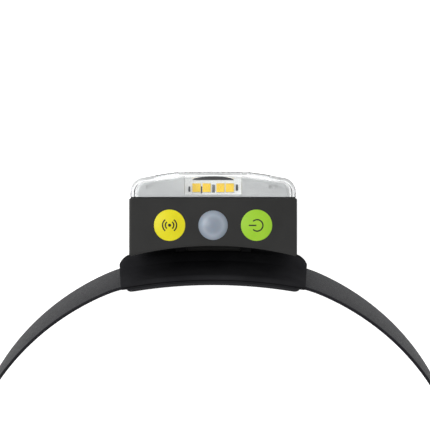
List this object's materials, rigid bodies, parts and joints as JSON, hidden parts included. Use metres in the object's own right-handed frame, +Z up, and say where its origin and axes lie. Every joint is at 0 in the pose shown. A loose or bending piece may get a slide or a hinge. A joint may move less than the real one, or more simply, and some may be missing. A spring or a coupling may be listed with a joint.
{
  "type": "headlamp",
  "caption": "Compact headlamp with a clear front lens, two push buttons and a sensor dome on top, hinged to a bracket on an adjustable webbing headband.",
  "frame": {"origin": "middle of the box round the headlamp, at the height of the surface it stands on", "axes": "+Z up as it stands and nearly up as it is worn, -Y the way the lamp points, +X to the wearer's left"},
  "size_m": [0.194, 0.2321, 0.0402],
  "materials": {
    "webbing": "woven, matt",
    "bracket_plastic": "moulded, fine texture",
    "buckle_plastic": "moulded, satin",
    "pad_rubber": "foamed, matt",
    "steel": "drawn and plated",
    "washer_nylon": "natural, satin",
    "housing_plastic": "moulded, fine texture",
    "seal_rubber": "moulded, matt",
    "clear_plastic": "clear, polished",
    "reflector_plastic": "pearl grey, satin",
    "led_phosphor": "cast silicone",
    "board_white": "white solder mask",
    "board_green": "green solder mask",
    "aluminium": "stamped, bare",
    "switch_plastic": "moulded",
    "sensor_can": "nickel plated",
    "dome_plastic": "milky, satin",
    "yellow_rubber": "moulded silicone, satin",
    "lime_rubber": "moulded silicone, satin",
    "spring_silicone": "translucent silicone",
    "cell_foil": "laminated foil",
    "foam": "open foam",
    "wire_red": "extruded sleeve"
  },
  "bodies": {
    "strap": {"headband": "webbing", "band_hem": "webbing", "band_return": "webbing", "band_loop": "buckle_plastic", "bracket": "bracket_plastic", "forehead_pad": "pad_rubber", "hinge_pin": "steel", "hinge_washers": "washer_nylon"},
    "adjuster": {"adjuster_slider": "buckle_plastic", "adjuster_fold": "webbing"},
    "power_key": {"power_button": "lime_rubber"},
    "sensor_key": {"sensor_button": "yellow_rubber"},
    "port_flap": {"usb_flap": "seal_rubber"},
    "lamp": {"housing": "housing_plastic", "rear_cover": "housing_plastic", "cover_seal": "seal_rubber", "cover_screws": "steel", "lens_cover": "clear_plastic", "lens_seal": "seal_rubber", "reflector_bezel": "reflector_plastic", "spot_led_board": "board_white", "spot_leds": "led_phosphor", "heat_sink": "aluminium", "flood_board": "board_white", "flood_leds": "led_phosphor", "flood_optic": "clear_plastic", "control_board": "board_green", "button_switches": "switch_plastic", "motion_sensor": "sensor_can", "sensor_dome": "dome_plastic", "battery_cell": "cell_foil", "battery_pad": "foam", "battery_leads": "wire_red", "button_springs_power": "spring_silicone", "button_springs_sensor": "spring_silicone", "usb_port": "steel"}
  },
  "joints": [
    {"name": "lamp_tilt", "type": "hinge", "parent": "strap", "child": "lamp", "pos_m": [0, -0.08138, 0.00843], "axis": [1, 0, 0], "range_deg": [-18, 45]},
    {"name": "adjuster_travel", "type": "hinge", "parent": "strap", "child": "adjuster", "pos_m": [0, 0.01681, 0.0182], "axis": [0, 0.034, 0.9994], "range_deg": [-80, 0]},
    {"name": "power_press", "type": "slide", "parent": "lamp", "child": "power_key", "axis": [0, 0.2309, -0.973], "range_m": [0, 0.0008], "stiffness_N_per_m": 1200, "deforming": ["button_springs_power"]},
    {"name": "sensor_press", "type": "slide", "parent": "lamp", "child": "sensor_key", "axis": [0, 0.2309, -0.973], "range_m": [0, 0.0008], "stiffness_N_per_m": 1200, "deforming": ["button_springs_sensor"]},
    {"name": "port_flap_hinge", "type": "hinge", "parent": "lamp", "child": "port_flap", "pos_m": [0.02995, -0.09665, 0.02511], "axis": [0, 0.973, 0.2309], "range_deg": [0, 110]}
  ]
}
